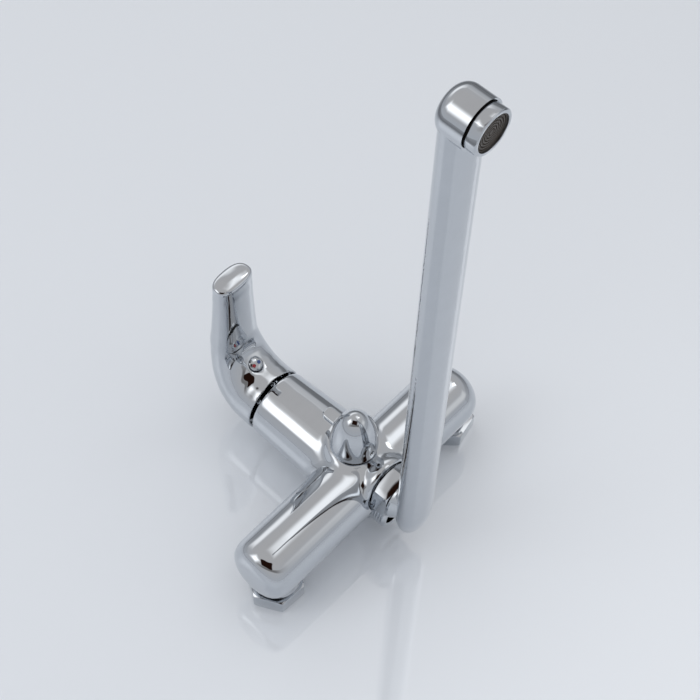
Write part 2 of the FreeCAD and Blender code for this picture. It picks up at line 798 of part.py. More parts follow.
def make_lever():
    """Make the lever with its cap, its fixing screw and its index plug."""
    rows, tip = lever_sections()
    wires = [ring_wire(*row) for row in rows]
    loft = Part.makeLoft(wires + [Part.Vertex(tip)], True, False)
    shell = doc.addObject("Part::Feature", "lever_outer")
    shell.Shape = loft

    mouth = rod("cap_hollow", "cap_mouth_radius", "cap_mouth_depth - cap_rim + 1",
                ("0", "cap_rim - 1", "housing_height"), "Y")
    inside = doc.addObject("Part::Feature", "lever_inside")
    inside.Shape = Part.makeLoft([ring_wire(*row) for row in hollow_sections()], True, False)
    socket = rod("lever_socket", "socket_radius", "lever_back - socket_foot",
                 ("0", "socket_foot", "housing_height"), "Y")
    hollow = cut("lever_hollow", joined("lever_inside_open", mouth, inside), socket)
    square = block("socket_square", "stem_half + stem_half + 0.1", "stem_end - socket_foot + 1.3",
                   "stem_half + stem_half + 0.1",
                   ("0 - stem_half - 0.05", "socket_foot - 1", "housing_height - stem_half - 0.05"))
    screw_hole = rod("screw_hole", "screw_radius + thread_play", "24",
                     ("0", "plug_along - 1", "screw_foot - 2"))
    plug_hole = rod("plug_hole", "plug_radius + slip", "plug_depth + 8",
                    ("0", "plug_along", "plug_height"))
    tilt = Rotation(Vector(1, 0, 0), amount("plug_tilt"))
    start = Vector(0, amount("plug_along"), amount("plug_height"))
    plug_hole.setExpression("Placement.Base.y", None)
    plug_hole.setExpression("Placement.Base.z", None)
    plug_hole.Placement = Placement(start + tilt.multVec(Vector(0, 0, -amount("plug_depth"))), tilt)
    finished = cut("lever_cut", shell, hollow, square, screw_hole, plug_hole)
    keep(finished, "handle")

    screw = turned("grub_blank", [
        ("0", "screw_foot"), ("screw_radius - 0.8", "screw_foot"),
        ("screw_radius", "screw_foot + 0.8"), ("screw_radius", "screw_top"),
        ("0", "screw_top"),
    ], ("0", "plug_along - 1", "0"))
    drive = hexagon("grub_drive", "1.25", "4", ("0", "plug_along - 1", "screw_top - 2.5"), "Z", 0)
    keep(cut("grub", screw, drive), "handle_screw")

    plug = turned("plug_blank", [
        ("0", "0 - plug_depth + 0.3"), ("plug_radius", "0 - plug_depth + 0.3"),
        ("plug_radius", "plug_rise - 0.5"), ("plug_radius - 0.8", "plug_rise + 0.1"),
        ("plug_radius - 2.2", "plug_rise + 0.5"), ("0", "plug_rise + 0.6"),
    ])
    marks = []
    for side, across in (("hot", "0 - mark_offset"), ("cold", "mark_offset")):
        marks.append(rod("mark_hole_" + side, "mark_radius", "3", (across, "0", "0")))
        fill = rod("mark_fill_" + side, "mark_radius", "plug_rise + 0.55", (across, "0", "0"))
        dot = keep(joined_alone(fill), "index_mark_" + side)
        lean(dot, start, tilt)
    plug_cut = cut("plug_bored", plug, *marks)
    lean(plug_cut, start, tilt)
    keep(plug_cut, "index_plug")


def joined_alone(item):
    """Wrap one object so that it can be leaned as a whole."""
    both = doc.addObject("Part::Compound", item.Name + "_held")
    both.Links = [item]
    return both


def lean(item, point, turn):
    """Lean a finished object about its own origin and stand it at a point."""
    item.Placement = Placement(point, turn)


# Spout
def make_spout():
    """Make the spout, its swivel connection and its aerator."""
    def oval(name, width, depth, foot, top):
        ring = doc.addObject("Part::Ellipse", name + "_ring")
        bind(ring, "MajorRadius", width)
        bind(ring, "MinorRadius", depth)
        ring.MajorRadius = amount(width)
        ring.MinorRadius = amount(depth)
        place(ring, "0", "0 - spout_along", foot)
        item = doc.addObject("Part::Extrusion", name)
        item.Base = ring
        item.DirMode = "Custom"
        item.Dir = Vector(0, 0, 1)
        item.Solid = True
        bind(item, "LengthFwd", top + " - " + foot)
        return item

    tube = oval("tube_outer", "spout_half_width", "spout_half_depth", "spout_foot_height",
                "spout_end_height")
    foot = doc.addObject("Part::Ellipsoid", "tube_foot")
    for prop, text in (("Radius1", "spout_dome"), ("Radius2", "spout_half_width"),
                       ("Radius3", "spout_half_depth")):
        bind(foot, prop, text)
    foot.Angle1 = -90
    foot.Angle2 = 90
    foot.Angle3 = 360
    place(foot, "0", "0 - spout_along", "spout_foot_height")
    boss = rod("tube_boss", "spout_top_radius", "spout_ring - spout_back",
               ("0", "0 - spout_back", "spout_end_height"), "-Y")

    def at_boss_back(edge, spots):
        return all(abs(p.y + amount("spout_back")) < 0.01 for p in spots)

    boss = rounded("tube_boss_soft", boss, "spout_boss_round", at_boss_back)
    neck = turned("tube_neck", [
        ("0", "spigot_end"), ("spigot_radius", "spigot_end"),
        ("spigot_radius", "neck_back"), ("neck_radius", "neck_back"),
        ("neck_radius", "neck_back + 1.4"), ("spout_half_width", "neck_front"),
        ("spout_half_width - 4", "spout_along"), ("0", "spout_along"),
    ], ("0", "0", "spout_axis_height"), "-Y")
    whole = joined("tube_whole", tube, foot, boss, neck)
    inner_width = "spout_half_width - spout_wall"
    inner_depth = "spout_half_depth - spout_wall"
    channel = oval("tube_channel", inner_width, inner_depth, "spout_axis_height - 12",
                   "spout_end_height + 4")
    inlet = rod("tube_inlet", "spigot_bore_radius", "spout_along - spigot_end + 1",
                ("0", "1 - spigot_end", "spout_axis_height"), "-Y")
    outlet = rod("tube_outlet", "aerator_bore_radius + thread_play", "spout_ring - aerator_seat + 1",
                 ("0", "0 - aerator_seat", "spout_end_height"), "-Y")
    throat = rod("tube_throat", "aerator_bore_radius - 1.6", "6",
                 ("0", "0 - aerator_seat + 5", "spout_end_height"), "-Y")
    grooves = []
    for number, start in enumerate(("14", "19")):
        grooves.append(turned("spigot_groove_%d" % number, [
            ("spigot_radius - 1.4", start), ("spigot_radius + 1", start),
            ("spigot_radius + 1", start + " + 2.4"), ("spigot_radius - 1.4", start + " + 2.4"),
        ], ("0", "0", "spout_axis_height"), "-Y"))
    grooves.append(turned("snap_groove", [
        ("spigot_radius - 0.9", "nipple_end + 0.15"), ("spigot_radius + 1", "nipple_end + 0.15"),
        ("spigot_radius + 1", "nipple_end + 1.45"), ("spigot_radius - 0.9", "nipple_end + 1.45"),
    ], ("0", "0", "spout_axis_height"), "-Y"))
    keep(cut("tube", whole, channel, inlet, outlet, throat, *grooves), "spout_tube")

    rings = []
    for number, start in enumerate(("14", "19")):
        ring = doc.addObject("Part::Torus", "spout_ring_%d" % number)
        ring.Radius2 = 0.69
        ring.setExpression("Radius1", formula("spigot_radius - 0.7"))
        place(ring, "0", "0 - 1.2 - " + start, "spout_axis_height", "-Y")
        rings.append(ring)
    keep(joined("spout_rings", *rings), "spout_o_rings")

    snap = turned("snap_blank", [
        ("spigot_radius - 0.8", "nipple_end + 0.2"), ("spigot_radius + 1.6", "nipple_end + 0.2"),
        ("spigot_radius + 1.6", "nipple_end + 1.4"), ("spigot_radius - 0.8", "nipple_end + 1.4"),
    ], ("0", "0", "spout_axis_height"), "-Y")
    snap_gap = block("snap_gap", "3", "30", "14",
                     ("0 - 1.5", "0 - 45", "spout_axis_height - 14"))
    keep(cut("snap", snap, snap_gap), "spout_snap_ring")

    keep(turned("nipple", [
        ("nipple_bore_radius", "nipple_seat + 0.3"),
        ("nipple_thread_radius", "nipple_seat + 0.3"),
        ("nipple_thread_radius", "nipple_end"), ("nipple_bore_radius", "nipple_end"),
    ], ("0", "0", "spout_axis_height"), "-Y"), "spout_nipple")

    blank = turned("spout_nut_blank", [
        ("nipple_thread_radius + thread_play", "nut_back"), ("nut_flat + 0.4", "nut_back"),
        ("nut_flat + 2.4", "nut_back + 1.1"), ("nut_flat + 2.4", "nut_front - 1.1"),
        ("nut_flat + 0.4", "nut_front"), ("nut_hole_radius", "nut_front"),
        ("nut_hole_radius", "nipple_end + 1.6"),
        ("nipple_thread_radius + thread_play", "nipple_end + 1.6"),
    ], ("0", "0", "spout_axis_height"), "-Y")
    hexes = hexagon("spout_nut_hex", "nut_flat", "nut_front - nut_back",
                    ("0", "0 - nut_back", "spout_axis_height"), "-Y", -35.8)
    keep(common("spout_nut_whole", blank, hexes), "spout_nut")

    # Aerator
    end = ("0", "0", "spout_end_height")
    shell = turned("aerator_shell", [
        ("aerator_inner_radius", "aerator_seat + 1.2"),
        ("aerator_bore_radius", "aerator_seat + 1.2"),
        ("aerator_bore_radius", "spout_ring + collar_gap"),
        ("aerator_radius", "spout_ring + collar_gap"),
        ("aerator_radius", "aerator_end - 0.6"), ("aerator_radius - 0.6", "aerator_end"),
        ("aerator_inner_radius - 0.3", "aerator_end"),
        ("aerator_inner_radius - 0.3", "aerator_end - 1"),
        ("aerator_inner_radius", "aerator_end - 1"),
    ], end, "-Y")
    flats = []
    for side, turn in (("near", 180.0), ("far", 0.0)):
        flat = block("aerator_flat_" + side, "4", "aerator_end - spout_ring - collar_gap + 1", "14",
                     ("0", "0", "0"))
        for spot in ("x", "y", "z"):
            flat.setExpression("Placement.Base." + spot, None)
        spin = Rotation(Vector(0, 1, 0), turn + SIZES["aerator_flat_turn"])
        corner = spin.multVec(Vector(SIZES["aerator_flat"], 0, -7))
        flat.Placement = Placement(Vector(0, amount("0 - aerator_end - 1"),
                                          amount("spout_end_height")) + corner, spin)
        flats.append(flat)
    keep(cut("aerator_flatted", shell, *flats), "aerator_housing")
    keep(turned("aerator_core", [
        ("0", "aerator_seat + 1.2"), ("aerator_inner_radius - slip", "aerator_seat + 1.2"),
        ("aerator_inner_radius - slip", "aerator_end - 3"), ("0", "aerator_end - 3"),
    ], end, "-Y"), "aerator_insert")
    screen = turned("screen_blank", [
        ("0", "aerator_end - 3"), ("aerator_inner_radius - slip", "aerator_end - 3"),
        ("aerator_inner_radius - slip", "aerator_end - 1"), ("0", "aerator_end - 1"),
    ], end, "-Y")
    grooves = []
    for number in range(3):
        inner = "%.1f" % (2.0 + 2.6 * number)
        grooves.append(turned("screen_groove_%d" % number, [
            (inner, "aerator_end - 2.2"), (inner + " + 1.4", "aerator_end - 2.2"),
            (inner + " + 1.4", "aerator_end"), (inner, "aerator_end"),
        ], end, "-Y"))
    keep(cut("screen", screen, *grooves), "aerator_screen")
    keep(turned("aerator_gasket", [
        ("aerator_bore_radius - 2.5", "aerator_seat"), ("aerator_bore_radius", "aerator_seat"),
        ("aerator_bore_radius", "aerator_seat + 1.2"),
        ("aerator_bore_radius - 2.5", "aerator_seat + 1.2"),
    ], end, "-Y"), "aerator_washer")


# Diverter
def make_diverter():
    """Make the diverter discs, stem, bonnet and knob."""
    axis = ("0", "diverter_along", "0")
    disc = turned("lower_disc_blank", [
        ("0", "diverter_floor"), ("diverter_bore_radius - slip", "diverter_floor"),
        ("diverter_bore_radius - slip", "diverter_floor + disc_thickness"),
        ("0", "diverter_floor + disc_thickness"),
    ], axis)
    ports = rod("lower_disc_port", "2.6", "10", ("0", "diverter_along + 4.6", "diverter_floor - 1"))
    keep(cut("lower_disc", disc, ports), "diverter_disc_fixed")
    foot = "diverter_floor + disc_thickness"
    upper = turned("upper_disc_blank", [
        ("0", foot), ("diverter_bore_radius - 0.4", foot),
        ("diverter_bore_radius - 0.4", foot + " + disc_thickness"),
        ("0", foot + " + disc_thickness"),
    ], axis)
    slot = block("upper_disc_slot", "6", "9", "8",
                 ("0 - 3", "diverter_along + 2", "diverter_floor + disc_thickness - 1"))
    keep(cut("upper_disc", upper, slot), "diverter_disc_moving")
    level = foot + " + disc_thickness"
    keep(turned("diverter_shaft", [
        ("0", level), ("diverter_bore_radius - 1", level),
        ("diverter_bore_radius - 1", level + " + stem_flange"),
        ("stem_radius", level + " + stem_flange"), ("stem_radius", "stem_shoulder"),
        ("stem_tip_radius", "stem_shoulder"), ("stem_tip_radius", "stem_tip"),
        ("0", "stem_tip"),
    ], axis), "diverter_stem")
    keep(turned("bonnet", [
        ("stem_radius + 1.8", "bonnet_foot"), ("diverter_bore_radius - slip", "bonnet_foot"),
        ("diverter_bore_radius - slip", "bonnet_top"), ("stem_radius + slip", "bonnet_top"),
        ("stem_radius + slip", "bonnet_foot + 2.2"), ("stem_radius + 1.8", "bonnet_foot + 2.2"),
    ], axis), "diverter_bonnet")
    seal = doc.addObject("Part::Torus", "shaft_seal")
    bind(seal, "Radius1", "stem_radius + seal_cord")
    bind(seal, "Radius2", "seal_cord - 0.02")
    place(seal, "0", "diverter_along", "bonnet_foot + 1.2")
    keep(seal, "diverter_o_ring")

    dome = doc.addObject("Part::Ellipsoid", "knob_dome")
    for prop, text in (("Radius1", "knob_height"), ("Radius2", "knob_radius"),
                       ("Radius3", "knob_radius")):
        bind(dome, prop, text)
    dome.Angle1 = 0
    dome.Angle2 = 90
    dome.Angle3 = 360
    place(dome, "0", "diverter_along", "knob_foot")
    fin = block("knob_fin", "fin_half_width + fin_half_width", "fin_reach", "fin_top - fin_foot",
                ("0 - fin_half_width", "diverter_along", "fin_foot"))

    def fin_corner(edge, spots):
        far = amount("diverter_along + fin_reach")
        upright = max(p.z for p in spots) - min(p.z for p in spots) > 2
        return upright and all(abs(p.y - far) < 0.01 for p in spots)

    fin = rounded("knob_fin_tip", fin, "fin_half_width - 1.2", fin_corner)

    def fin_top(edge, spots):
        return all(abs(p.z - amount("fin_top")) < 0.01 for p in spots)

    fin = rounded("knob_fin_soft", fin, "0.8", fin_top)
    shell = joined("knob_whole", dome, fin)
    bore = rod("knob_bore", "stem_tip_radius + slip", "stem_tip - knob_foot + 1",
               ("0", "diverter_along", "knob_foot - 1"))
    relief = turned("knob_relief", [
        ("7", "knob_foot - 1"), ("knob_radius - 1.6", "knob_foot - 1"),
        ("knob_radius - 3.6", "knob_foot + 12"), ("7", "knob_foot + 12"),
    ], axis)
    hole = rod("knob_screw_hole", "1.5", "14", ("0", "diverter_along - stem_tip_radius",
                                                "knob_foot + 5"), "-Y")
    keep(cut("knob", shell, bore, relief, hole), "diverter_knob")
    keep(rod("knob_screw", "1.45", "3.4", ("0", "diverter_along - stem_tip_radius - 0.02",
                                           "knob_foot + 5"), "-Y"), "diverter_set_screw")


# Shower outlet
def make_shower_outlet():
    """Make the threaded outlet for the shower hose."""
    keep(turned("hose_nipple", [
        ("shower_bore_radius", "shower_seat + 0.3"),
        ("shower_thread_radius - 1", "shower_seat + 0.3"),
        ("shower_thread_radius - 1", "shower_face"), ("shower_undercut_radius", "shower_face"),
        ("shower_undercut_radius", "shower_thread_start"),
        ("shower_thread_radius", "shower_thread_start"),
        ("shower_thread_radius", "shower_end - 0.8"), ("shower_thread_radius - 0.8", "shower_end"),
        ("shower_bore_radius", "shower_end"),
    ], ("0", "0", "shower_height"), "-Y"), "shower_nipple")


make_mixer_body()
make_inlet("left", "0 - ", -3.1)
make_inlet("right", "", 11.7)
make_cartridge()
make_lever()
make_spout()
make_diverter()
make_shower_outlet()
doc.recompute()

# Check and write every sub-part
problems = []
for item in doc.Objects:
    if "Invalid" in item.State or "Error" in item.State:
        problems.append("%s is %s" % (item.Label, item.State))
os.makedirs("parts", exist_ok=True)
for item in parts:
    shape = item.Shape
    if shape.isNull() or not shape.isValid() or not shape.Solids:
        problems.append("%s has no valid solid" % item.Label)
        continue
    box = shape.BoundBox
    print("%-24s %2d solids %9.1f mm3  x %7.1f %7.1f  y %7.1f %7.1f  z %7.1f %7.1f" % (
        item.Label, len(shape.Solids), shape.Volume, box.XMin, box.XMax, box.YMin, box.YMax,
        box.ZMin, box.ZMax))
    shape.exportStep("parts/" + item.Label + ".step")
for line in problems:
    print("PROBLEM", line)
if problems:
    raise RuntimeError("the model has problems")
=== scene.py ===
"""Looks of a wall mounted bath and shower mixer, standing on its union nuts on a pale floor."""

import json
import logging
import math
from dataclasses import dataclass, field
from enum import IntEnum
from typing import Dict, Iterable, List, Sequence, Tuple, Union

import bmesh
import bpy
from mathutils import Matrix, Vector

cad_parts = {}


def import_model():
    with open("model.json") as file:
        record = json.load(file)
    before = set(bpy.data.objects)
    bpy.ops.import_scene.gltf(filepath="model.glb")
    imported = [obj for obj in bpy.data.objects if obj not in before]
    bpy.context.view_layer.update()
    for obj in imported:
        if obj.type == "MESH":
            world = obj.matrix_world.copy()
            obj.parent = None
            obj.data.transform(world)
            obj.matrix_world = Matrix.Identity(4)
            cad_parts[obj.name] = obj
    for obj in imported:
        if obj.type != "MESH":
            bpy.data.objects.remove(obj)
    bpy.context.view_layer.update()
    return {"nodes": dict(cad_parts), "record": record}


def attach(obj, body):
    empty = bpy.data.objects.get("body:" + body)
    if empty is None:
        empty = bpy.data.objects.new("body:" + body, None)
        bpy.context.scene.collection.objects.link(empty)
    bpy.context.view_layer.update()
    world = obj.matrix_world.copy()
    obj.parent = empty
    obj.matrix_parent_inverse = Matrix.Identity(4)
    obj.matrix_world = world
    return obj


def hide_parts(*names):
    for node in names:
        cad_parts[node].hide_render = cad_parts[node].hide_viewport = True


LOG = logging.getLogger("mixer")
MM = 0.001
WELD_MM = 0.004
SLIVER_MM = 0.002
BUFF_SHARE = 0.5
TURN_STEPS = 96
TURN_CREASE = 32.0
Colour = Tuple[float, float, float, float]
Point = Tuple[float, float, float]
Profile = Sequence[Tuple[float, float]]


class MixSocket(IntEnum):
    """The sockets of a Mix node that mixes two colours."""

    FACTOR = 0
    FIRST = 6
    SECOND = 7
    RESULT = 2


class Input(IntEnum):
    """The inputs of a Math or Vector Math node in their order."""

    FIRST = 0
    SECOND = 1
    THIRD = 2


def linear(code: str) -> Colour:
    """Turn an sRGB hex code into a linear colour by the sRGB standard's own numbers.

    Args:
        code: six hex digits after a hash sign.

    Returns:
        Linear red, green, blue and an alpha of one.
    """
    parts = [int(code[i:i + 2], 16) / 255.0 for i in (1, 3, 5)]
    values = [c / 12.92 if c <= 0.04045 else ((c + 0.055) / 1.055) ** 2.4 for c in parts]
    return values[0], values[1], values[2], 1.0


def scaled(colour: Colour, share: float) -> Colour:
    """Make a linear colour lighter or darker by a share."""
    return colour[0] * share, colour[1] * share, colour[2] * share, 1.0


def add_node(tree: bpy.types.NodeTree, kind: str, settings: Dict[Union[str, int], object],
             links: Dict[Union[str, int], bpy.types.NodeSocket]) -> bpy.types.Node:
    """Add one shader node with its settings and incoming links.

    Args:
        tree: the node tree that takes the node.
        kind: the node's type name.
        settings: attributes of the node, or values of its inputs by name or number.
        links: input name or number to the output socket that feeds it.

    Returns:
        The new node.
    """
    node = tree.nodes.new(kind)
    for name, value in settings.items():
        if isinstance(name, str) and hasattr(node, name):
            setattr(node, name, value)
        else:
            node.inputs[name].default_value = value
    for name, socket in links.items():
        tree.links.new(socket, node.inputs[name])
    return node


@dataclass(frozen=True)
class Finish:
    """One surface finish, made as a node material.

    Args:
        title: the real material and how its surface was made.
        code: its colour as an sRGB hex code.
        metallic: one for a bare or plated metal.
        gloss: lowest and highest roughness over the surface.
        grain_mm: size of the roughness pattern on the real surface.
        relief_mm: height of the surface's fine relief.
        shade: brightness of the colour in the pattern's low places.
        detail: how many finer patterns lie in the grain.
    """

    title: str
    code: str
    metallic: float
    gloss: Tuple[float, float]
    grain_mm: float
    relief_mm: float = 0.0
    shade: float = 0.93
    detail: float = 3.0

    def material(self) -> bpy.types.Material:
        """Build the finish's material on its first use.

        Returns:
            The material, the same one on each call.
        """
        known = bpy.data.materials.get(self.title)
        if known is not None:
            return known
        made = bpy.data.materials.new(self.title)
        made.use_nodes = True
        tree = made.node_tree
        shader = tree.nodes["Principled BSDF"]
        shader.inputs["Metallic"].default_value = self.metallic
        place = add_node(tree, "ShaderNodeTexCoord", {}, {})
        # One noise gives both the hand polish's slow change of gloss and the fine relief.
        noise = add_node(tree, "ShaderNodeTexNoise", {
            "Scale": 1.0 / (self.grain_mm * MM),
            "Detail": self.detail,
        }, {"Vector": place.outputs["Object"]})
        gloss = add_node(tree, "ShaderNodeMapRange", {
            "To Min": self.gloss[0],
            "To Max": self.gloss[1],
        }, {"Value": noise.outputs["Fac"]})
        tree.links.new(gloss.outputs["Result"], shader.inputs["Roughness"])
        colour = linear(self.code)
        tint = add_node(tree, "ShaderNodeMix", {
            "data_type": "RGBA",
            MixSocket.FIRST: scaled(colour, self.shade),
            MixSocket.SECOND: colour,
        }, {MixSocket.FACTOR: noise.outputs["Fac"]})
        tree.links.new(tint.outputs[MixSocket.RESULT], shader.inputs["Base Color"])
        if self.relief_mm > 0.0:
            relief = add_node(tree, "ShaderNodeBump", {"Distance": self.relief_mm * MM},
                              {"Height": noise.outputs["Fac"]})
            tree.links.new(relief.outputs["Normal"], shader.inputs["Normal"])
        return made


# Bright chrome plate on buffed brass: a cool mirror with a trace of haze from the buffing wheel.
CHROMED_BRASS = Finish("chrome plated brass, buffed", "#C9CDD2", 1.0, (0.025, 0.05), 9.0)
# The same plate on die cast zinc, a little softer where the casting skin was polished away.
CHROMED_ZINC = Finish("chrome plated zinc, polished", "#C9CDD2", 1.0, (0.03, 0.06), 7.0)
# Plate on moulded plastic, whose skin mirrors less sharply than metal.
CHROMED_PLASTIC = Finish("chrome plated ABS", "#C4C8CD", 1.0, (0.05, 0.09), 4.0)
# Turned brass that water has dulled to a soft yellow sheen.
BARE_BRASS = Finish("turned brass", "#C9A659", 1.0, (0.22, 0.34), 1.2, 0.004)
# Dark brass as painted shade: it stands for the shade in the gaps at the lever's stem and the
# aerator's neck, so that no glint fills them.
GAP_SHADE_BRASS = Finish("dark brass painted as gap shade", "#1D1B19", 1.0, (0.4, 0.55), 1.2, 0.004)
# Drawn stainless wire and screws, with a satin shine.
STAINLESS = Finish("stainless steel, drawn", "#B4B6B8", 1.0, (0.2, 0.32), 0.8, 0.003)
# Moulded nitrile rubber of seals and washers, black and nearly dull.
RUBBER = Finish("nitrile rubber, moulded", "#1B1C1E", 0.0, (0.5, 0.65), 0.6, 0.01)
# White acetal of the cartridge case, with a waxy half gloss.
WHITE_ACETAL = Finish("white acetal, moulded", "#DCDDDA", 0.0, (0.35, 0.48), 0.9, 0.006)
# Brownish grey acetal, dull and quiet: the aerator's insert in its own colour, and the cartridge's
# ring, whose dark tone also serves as painted shade in the gap between the lever's cap and the
# housing.
ACETAL_AND_GAP_SHADE = Finish("grey acetal, moulded", "#4A433C", 0.0, (0.4, 0.55), 0.7, 0.006)
# Lapped alumina discs, ivory white and glossy.
ALUMINA = Finish("alumina ceramic, lapped", "#EDEAE0", 0.0, (0.12, 0.2), 1.0)
# Baked enamel that fills the two index marks, deep in colour and glossy.
RED_ENAMEL = Finish("red enamel, filled", "#93262E", 0.0, (0.15, 0.25), 0.8, 0.004)
BLUE_ENAMEL = Finish("blue enamel, filled", "#36508A", 0.0, (0.15, 0.25), 0.8, 0.004)

SLOT_FINISH: Dict[str, Finish] = {
    "chromed_brass": CHROMED_BRASS,
    "chromed_zinc": CHROMED_ZINC,
    "chromed_plastic": CHROMED_PLASTIC,
    "bare_brass": BARE_BRASS,
    "stainless_steel": STAINLESS,
    "black_rubber": RUBBER,
    "white_acetal": WHITE_ACETAL,
    "grey_acetal": ACETAL_AND_GAP_SHADE,
    "alumina": ALUMINA,
    "red_enamel": RED_ENAMEL,
    "blue_enamel": BLUE_ENAMEL,
}
# The lever's stem takes the painted gap shade instead of its own bare brass.
NODE_FINISH: Dict[str, Finish] = {"cartridge_stem": GAP_SHADE_BRASS}


@dataclass
class Frame:
    """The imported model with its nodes, their bodies and their material slots."""

    nodes: Dict[str, bpy.types.Object]
    record: Dict[str, object]
    body_of: Dict[str, str] = field(default_factory=dict)
    slot_of: Dict[str, str] = field(default_factory=dict)

    def __post_init__(self) -> None:
        """Look up each node's body and slot."""
        for body, members in self.record["behaviour"]["bodies"].items():
            for member in members:
                self.body_of[member] = body
        for row in self.record["subparts"]:
            self.slot_of[row["node"]] = row["material_slot"]

    def dress(self) -> None:
        """Give every node its own finish or else the finish of its slot."""
        for name, item in self.nodes.items():
            finish = NODE_FINISH.get(name, SLOT_FINISH[self.slot_of[name]])
            item.data.materials.clear()
            item.data.materials.append(finish.material())

    def stand_in(self, piece: bpy.types.Object, node: str) -> bpy.types.Object:
        """Let a new piece stand for a node, on its body and with its finish.

        Args:
            piece: the new object.
            node: the node that it replaces.

        Returns:
            The same object.
        """
        slot = self.slot_of[node]
        piece.data.materials.clear()
        piece.data.materials.append(SLOT_FINISH[slot].material())
        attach(piece, self.body_of[node])
        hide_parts(node)
        return piece


def link_mesh(name: str, mesh: bpy.types.Mesh) -> bpy.types.Object:
    """Put a mesh in the scene under a name.

    Args:
        name: the new object's name.
        mesh: its finished mesh.

    Returns:
        The new object.
    """
    item = bpy.data.objects.new(name, mesh)
    bpy.context.scene.collection.objects.link(item)
    return item


def bake(item: bpy.types.Object) -> None:
    """Replace an object's mesh by what its modifiers make of it.

    Args:
        item: an object with live modifiers.
    """
    graph = bpy.context.evaluated_depsgraph_get()
    graph.update()
    mesh = bpy.data.meshes.new_from_object(item.evaluated_get(graph))
    item.modifiers.clear()
    item.data = mesh


def merged_copy(node: bpy.types.Object, name: str) -> bpy.types.Object:
    """Copy a node's mesh with its loose triangles joined.

    Args:
        node: the carried-over node.
        name: the new piece's name.

    Returns:
        The new object.
    """
    shape = bmesh.new()
    shape.from_mesh(node.data)
    bmesh.ops.remove_doubles(shape, verts=shape.verts, dist=WELD_MM * MM)
    bmesh.ops.dissolve_degenerate(shape, edges=shape.edges, dist=SLIVER_MM * MM)
    mesh = bpy.data.meshes.new(name)
    shape.to_mesh(mesh)
    shape.free()
    stale = mesh.attributes.get("custom_normal")
    if stale is not None:
        mesh.attributes.remove(stale)
    return link_mesh(name, mesh)


def buff(item: bpy.types.Object, title: str, rounds: int) -> bpy.types.Modifier:
    """Add a modifier that smooths an object as a buffing wheel does.

    Args:
        item: the object.
        title: the modifier's name.
        rounds: how often the surface is smoothed.

    Returns:
        The new modifier.
    """
    wheel = item.modifiers.new(title, "SMOOTH")
    wheel.factor = BUFF_SHARE
    wheel.iterations = rounds
    return wheel


@dataclass(frozen=True)
class SoftZone:
    """A round zone of a casting whose blends were buffed more softly.

    Args:
        name: the zone's name.
        centre_mm: middle of the zone.
        inner_mm: radius with the full effect.
        outer_mm: radius where the effect ends.
        rounds: how often the zone is smoothed.
    """

    name: str
    centre_mm: Point
    inner_mm: float
    outer_mm: float
    rounds: int

    def mark(self, item: bpy.types.Object) -> None:
        """Add the zone to an object as a weighted group with its own smoothing.

        Args:
            item: the casting's object.
        """
        group = item.vertex_groups.new(name=self.name)
        centre = Vector(self.centre_mm) * MM
        span = (self.outer_mm - self.inner_mm) * MM
        for vertex in item.data.vertices:
            away = (vertex.co - centre).length - self.inner_mm * MM
            if away < span:
                share = 1.0 - max(away, 0.0) / span
                group.add([vertex.index], share * share * (3.0 - 2.0 * share), "REPLACE")
        buff(item, self.name, self.rounds).vertex_group = self.name


@dataclass(frozen=True)
class Casting:
    """A polished casting, with an even skin and softly flowing blends.

    Args:
        node: the carried-over node that it stands for.
        name: the new piece's name.
        cell_mm: size of the skin's faces.
        rounds: how often the whole skin is smoothed.
        zones: places that are smoothed further.
    """

    node: str
    name: str
    cell_mm: float
    rounds: int
    zones: Tuple[SoftZone, ...] = ()

    def build(self, frame: Frame) -> bpy.types.Object:
        """Make the casting's skin from its node.

        Args:
            frame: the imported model.

        Returns:
            The new piece.
        """
        item = merged_copy(frame.nodes[self.node], self.name)
        skin = item.modifiers.new("skin", "REMESH")
        skin.mode = "VOXEL"
        skin.voxel_size = self.cell_mm * MM
        skin.use_smooth_shade = True
        buff(item, "polish", self.rounds)
        bake(item)
        if self.zones:
            for zone in self.zones:
                zone.mark(item)
            bake(item)
        item.data.shade_smooth()
        return frame.stand_in(item, self.node)


@dataclass(frozen=True)
class EasedPiece:
    """A machined piece with small round edges that catch the light.

    Args:
        node: the carried-over node that it stands for.
        name: the new piece's name.
        ease_mm: width of the rounding.
        flat_angle: faces within this many degrees of each other are one flat face.
        edge_angle: edges sharper than this many degrees are rounded.
        crease_angle: edges sharper than this many degrees stay crisp in the shading.
        segments: faces across a rounded edge.
    """

    node: str
    name: str
    ease_mm: float
    flat_angle: float = 0.5
    edge_angle: float = 28.0
    crease_angle: float = 38.0
    segments: int = 2

    def build(self, frame: Frame) -> bpy.types.Object:
        """Make the piece from its node.

        Args:
            frame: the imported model.

        Returns:
            The new piece.
        """
        item = merged_copy(frame.nodes[self.node], self.name)
        shape = bmesh.new()
        shape.from_mesh(item.data)
        bmesh.ops.dissolve_limit(shape, angle_limit=math.radians(self.flat_angle),
                                 verts=shape.verts, edges=shape.edges)
        shape.to_mesh(item.data)
        shape.free()
        ease = item.modifiers.new("ease", "BEVEL")
        ease.width = self.ease_mm * MM
        ease.segments = self.segments
        ease.limit_method = "ANGLE"
        ease.angle_limit = math.radians(self.edge_angle)
        ease.harden_normals = False
        bake(item)
        item.data.shade_smooth()
        item.data.set_sharp_from_angle(angle=math.radians(self.crease_angle))
        return frame.stand_in(item, self.node)


